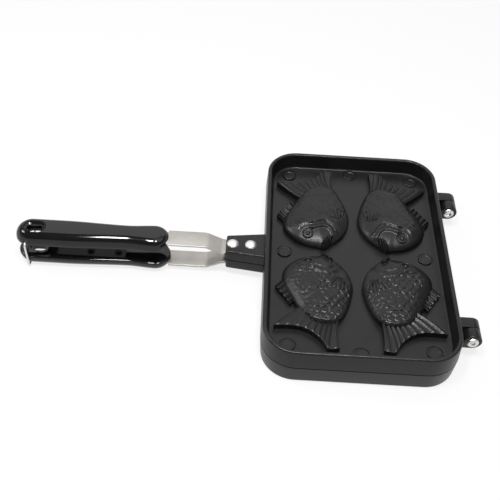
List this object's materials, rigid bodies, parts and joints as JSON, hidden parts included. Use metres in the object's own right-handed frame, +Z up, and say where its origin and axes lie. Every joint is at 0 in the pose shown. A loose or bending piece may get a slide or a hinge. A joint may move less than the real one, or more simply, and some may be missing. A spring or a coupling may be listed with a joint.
{
  "type": "taiyaki maker",
  "caption": "Hand-held stovetop pan for fish-shaped cakes: hinged non-stick castings, long black handles, steel straps and a wire bail.",
  "frame": {"origin": "on the ground, under the middle of the closed pan with its handles", "axes": "+X from the handles to the hinges, along the length; +Y across the pan, along the hinge pins; +Z up, from the lower pan to the upper"},
  "size_m": [0.39, 0.2358, 0.036],
  "materials": {
    "cast_nonstick": "matte",
    "strap_steel": "satin",
    "phenolic": "gloss",
    "black_steel": "satin",
    "bright_steel": "polished"
  },
  "bodies": {
    "lower_half": {"lower_pan": "cast_nonstick", "lower_strap": "strap_steel", "lower_handle": "phenolic", "lower_rivet_outer": "bright_steel", "lower_rivet_inner": "bright_steel", "lower_screw_front": "black_steel", "lower_screw_rear": "black_steel", "hinge_pin_near": "bright_steel", "hinge_pin_far": "bright_steel"},
    "upper_half": {"upper_pan": "cast_nonstick", "upper_strap": "strap_steel", "upper_handle": "phenolic", "upper_rivet_outer": "bright_steel", "upper_rivet_inner": "bright_steel", "upper_screw_front": "black_steel", "upper_screw_rear": "black_steel"},
    "bail": {"latch_wire": "bright_steel"}
  },
  "joints": [
    {"name": "lid", "type": "hinge", "parent": "lower_half", "child": "upper_half", "pos_m": [0.1875, 0, 0.018], "axis": [0, 1, 0], "range_deg": [0, 180]},
    {"name": "bail_swing", "type": "hinge", "parent": "upper_half", "child": "bail", "pos_m": [-0.185, 0, 0.027], "axis": [0, 1, 0], "range_deg": [0, 235]}
  ]
}
